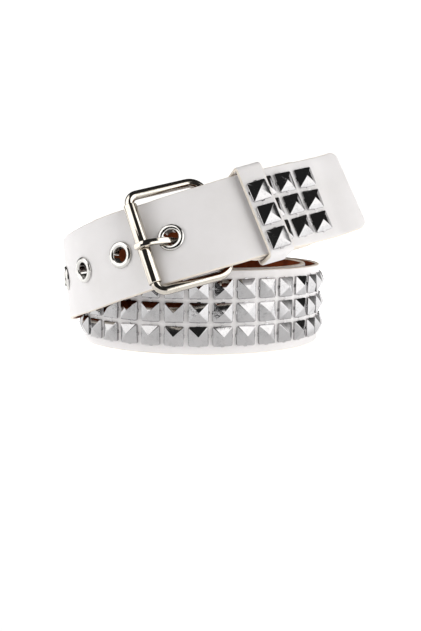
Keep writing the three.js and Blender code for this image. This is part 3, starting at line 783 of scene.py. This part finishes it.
# Columns: length from the first hole towards the tip, and height above the strap's face
prong_sections = np.array([
    (-hole_to_roller - 0.55 * roller_radius, roller_top),
    (-hole_to_roller, roller_top),
    (-hole_to_roller + 0.7 * roller_radius, roller_top - 0.15 * MM),
    (-slope_half - 0.35 * hole_to_roller, 0.62 * roller_top),
    (-slope_half, 1.1 * MM),
    (slope_half, -strap_thickness),
    (0.16 * hole_to_hinge, -0.6 * hinge_depth),
    (0.34 * hole_to_hinge, -0.78 * hinge_depth),
    (0.6 * hole_to_hinge, -0.92 * hinge_depth),
    (hole_to_hinge - rod_radius - bar_clearance - prong_wall / 2, -hinge_depth),
])


def smooth_path(points, count):
    """Points at equal lengths on a curve whose three columns are each smooth along the path."""
    steps = np.concatenate([[0], np.cumsum(np.linalg.norm(np.diff(points, axis=0), axis=1))])
    fine = np.linspace(0, steps[-1], 400)
    curve = np.stack([smooth_column(steps, points[:, i], fine) for i in range(3)], axis=-1)
    lengths = np.concatenate([[0], np.cumsum(np.linalg.norm(np.diff(curve, axis=0), axis=1))])
    even = np.linspace(0, lengths[-1], count)
    return np.stack([np.interp(even, lengths, curve[:, i]) for i in range(3)], axis=-1)


def rounded_section(width, thickness, radius, steps):
    """Across and out of a rectangle with round corners, once round from its upper face's middle."""
    turn = np.linspace(0, np.pi / 2, steps)
    x = width / 2 - radius + radius * np.cos(turn)
    y = thickness / 2 - radius + radius * np.sin(turn)
    across = np.concatenate([x, -x[::-1], -x, x[::-1]])
    out = np.concatenate([y, y[::-1], -y, -y[::-1]])
    return across, out


def prong_mesh():
    """The arm's rings along its path, and the ring round the bar, as two closed shells of one mesh."""
    seats = strap_frames(first_hole + prong_sections[:, 0])
    skew = prong_skew * (prong_sections[:, 0] - hole_to_hinge) / (hole_to_roller + hole_to_hinge)
    path = smooth_path(place(seats, 0, skew, prong_sections[:, 1]), count=70)
    travel = np.gradient(path, axis=0)
    hole_across = np.repeat(eyelet_places["across"][:1], len(path), axis=0)
    arm = make_frames(path, travel, hole_across)
    across, out = rounded_section(prong_width, prong_thickness, arm_corner, steps=4)
    from_end = np.linspace(0, 1, len(path)) * arm_length
    shrink = 1 - end_inset(from_end, arm_end_round)[:, None] / (prong_thickness / 2)
    points = place(pick(arm, np.s_[:, None, :]), 0, across * shrink, out * shrink)
    columns = len(across)
    faces = grid_faces(len(path), columns)[:, ::-1].tolist()
    faces = add_end(faces, 0, columns, True)
    faces = add_end(faces, (len(path) - 1) * columns, columns, False)
    ring_steps = 48
    angles = np.linspace(0, 2 * np.pi, ring_steps, endpoint=False)[:, None]
    ring_width, ring_wall = rounded_section(prong_width, prong_wall, ring_corner, steps=4)
    radius = rod_radius + bar_clearance + prong_wall / 2 + ring_wall
    ring = place(pick(hinge_place, np.s_[:, None, :]), radius * np.cos(angles), ring_width + 0 * angles,
                 radius * np.sin(angles))
    ring_faces = grid_faces(ring_steps, columns, closed_rows=True) + points.shape[0] * columns
    return np.concatenate([points.reshape(-1, 3), ring.reshape(-1, 3)]), faces + ring_faces.tolist()


prong_points, prong_faces = prong_mesh()
prong = make_piece("buckle_prong_wire", prong_points, prong_faces, buckle_nickel)
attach(prong, "root")
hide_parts("buckle_prong")


# The keeper: a loop of the same white leather round both layers, 11.6 mm wide, with rounded edges and
# three studs. Its front wall lies over the tip's first studs at one edge, and 2 mm off the strap at
# the other, so it stands a little aslant.
keeper_width = 11.6 * MM
keeper_thickness = 1.8 * MM
keeper_lifts = np.array([2, 3.3]) * MM
keeper_side_gap = 0.5 * MM
keeper_back_gap = 0.7 * MM
keeper_side = strap_width / 2 + keeper_side_gap
keeper_back = -(behind_offset + strap_thickness + keeper_back_gap)
keeper_bend = 1 * MM
keeper_edge_round = 0.8 * MM
keeper_painted = 0.9 * MM
keeper_stud_pitch = 11.1 * MM
keeper_stud_drop = 3.4 * MM
hole_to_keeper = 41.4 * MM


def loop_path(half, low, high, radius, corner_steps):
    """Across and out, with their outward directions, once round a rectangle with round corners."""
    corners = ((1, high, 0), (-1, high, 90), (-1, low, 180), (1, low, 270))
    places = []
    for sign, level, start in corners:
        angle = np.radians(start + np.linspace(0, 90, corner_steps))
        inward = -1 if level == high else 1
        x = sign * (half - radius) + radius * np.cos(angle)
        y = level + inward * radius + radius * np.sin(angle)
        places.append(np.stack([x, y, np.cos(angle), np.sin(angle)], axis=-1))
    return np.concatenate(places)


keeper_place = strap_frames(first_hole + hole_to_keeper)
wall_middle = keeper_thickness / 2
loops = [loop_path(keeper_side + wall_middle, keeper_back - wall_middle, lift + wall_middle,
                   keeper_bend + wall_middle, corner_steps=9) for lift in keeper_lifts]
wall_across, wall_out = rounded_section(keeper_width, keeper_thickness, keeper_edge_round, steps=6)
towards_tip = wall_across[:, None] / keeper_width + 0.5
loop = loops[0][:, None] * (1 - towards_tip) + loops[1][:, None] * towards_tip
keeper_points = place(
    pick(keeper_place, np.s_[:, None, :]), wall_across + 0 * loop[..., 0],
    loop[..., 0] + loop[..., 2] * wall_out, loop[..., 1] + loop[..., 3] * wall_out)
keeper_faces = grid_faces(len(loop), len(wall_across), closed_rows=True)
# The cream rim on the keeper's rounded edges is partly edge paint and partly painted shade.
rim = smooth_step(np.abs(wall_across), keeper_width / 2 - keeper_painted, keeper_width / 2)
keeper_uv = np.stack(np.broadcast_arrays(loop[..., 0], rim), axis=-1).reshape(-1, 2)
keeper = make_piece(
    "keeper_loop", keeper_points.reshape(-1, 3), keeper_faces.tolist(),
    white_leather("keeper_leather"), keeper_uv)
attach(keeper, "root")
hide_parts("keeper")

keeper_rows = np.array([-1, 0, 1]) * keeper_stud_pitch - keeper_stud_drop
keeper_face = np.mean(keeper_lifts) + keeper_thickness
tilted = keeper_place["along"] * keeper_width + keeper_place["out"] * np.diff(keeper_lifts)
keeper_stud_places = make_frames(
    place(keeper_place, 0, keeper_rows, keeper_face), tilted, keeper_place["across"])
keeper_stud_places = {name: np.broadcast_to(values, (3, 3)) for name, values in keeper_stud_places.items()}
keeper_studs = set_studs("keeper_studs", keeper_stud_places, seed=5)
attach(keeper_studs, "root")
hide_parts("keeper")


# The studio: a white table that glows, in a dark room with a large soft box at each side of the camera
# and a low pale wall behind the belt. The table's glow is painted shade and painted light: dim under the
# coil and in front of the belt, brighter behind it, and brightest at its sides. Bright metal shows the dark
# between and above the boxes as black, and only the camera itself sees the room as white.
box_light = 2.3
left_box_share = 0.88
wall_light = 0.4
dark_light = 0.03
camera_light = 1.1
camera_focus = 771
photo_long_side = 631
sensor = 36
camera_pitch = 0.139
camera_roll = 0.013
camera_place = (7.36 * MM + axis_x, -400 * MM + axis_y, 65 * MM)

table_points = np.array([(-3, -0.33, 0), (3, -0.33, 0), (3, 3, 0), (-3, 3, 0)])
table_material, table_nodes, table_shader = new_finish("white_table_painted_glow", Roughness=0.9, Emission_Strength=1)
table_nodes.feed(table_shader, "Base Color", (0.9, 0.9, 0.9, 1))
from_middle = table_nodes.add("VectorMath", {"operation": "LENGTH"}, {0: table_nodes.place()}, "Value")
towards_back = table_nodes.add("SeparateXYZ", {}, {0: table_nodes.place()}, "Y")
# Painted shade: the table's glow drops to 0.48 under the coil and in front of the belt, and is 0.95 behind
# and round it.
bright_glow_share = from_middle.between(0.055, 0.07) * towards_back.between(-0.07, 0.0)
glow_with_painted_shade = table_nodes.mix(bright_glow_share, (0.48, 0.48, 0.48, 1), (0.95, 0.95, 0.95, 1))
across_table = table_nodes.add("SeparateXYZ", {}, {0: table_nodes.place()}, "X")
# Painted light: the glow rises to 1.4 at the table's sides, more on the right than on the left.
painted_side_glow = across_table.between(0.08, 0.14) + (0.0 - across_table).between(0.09, 0.16) * 0.35
table_nodes.feed(table_shader, "Emission Color", table_nodes.mix(painted_side_glow, glow_with_painted_shade, (1.4, 1.4, 1.4, 1)))
table = make_piece("table_top", table_points, [(0, 1, 2, 3)], table_material)

world = bpy.data.worlds.new("studio")
bpy.context.scene.world = world
room = Nodes(world)
direction = room.add("TexCoord", {}, {}, "Generated")
side = room.add("SeparateXYZ", {}, {0: direction}, "X")
depth = room.add("SeparateXYZ", {}, {0: direction}, "Y")
height = room.add("SeparateXYZ", {}, {0: direction}, "Z")

# Azimuth is in radians, 0 on the camera's side and positive to the right. Height is the sine of the
# angle above the table.
azimuth = side.math("ARCTAN2", side, 0.0 - depth)
rightwards = azimuth - height.between(0.65, 0.75) * 0.4
leftwards = 0.0 - azimuth - (1 - height.between(0.42, 0.6)) * 0.45
right_box = rightwards.between(0.38, 0.52) * (1 - azimuth.between(1.5, 1.85))
left_box = leftwards.between(0.38, 0.54) * (1 - (0.0 - azimuth).between(1.7, 2.0))
below_top = 1 - height.between(0.82, 0.9)
boxes = (right_box + left_box * left_box_share) * below_top
back_wall = (1 - boxes.between(0.01, 0.2)) * depth.between(0.0, 0.3) * (1 - height.between(0.12, 0.3))
light = boxes * box_light + back_wall * wall_light + dark_light
camera_ray = room.add("LightPath", {}, {}, "Is Camera Ray")
strength = light * (1 - camera_ray) + camera_ray * camera_light
background = room.tree.nodes["Background"]
room.feed(background, "Color", (1, 0.99, 0.975, 1))
room.feed(background, "Strength", strength)

camera_data = bpy.data.cameras.new("camera")
camera_data.sensor_width = sensor
camera_data.lens = camera_focus * sensor / photo_long_side
camera_data.clip_start = 0.01
camera = bpy.data.objects.new("camera", camera_data)
bpy.context.scene.collection.objects.link(camera)
camera_turn = Matrix.Rotation(np.pi / 2 - camera_pitch, 4, "X") @ Matrix.Rotation(camera_roll, 4, "Z")
camera.matrix_world = Matrix.Translation(camera_place) @ camera_turn
bpy.context.scene.camera = camera
bpy.context.scene.view_settings.view_transform = "Standard"
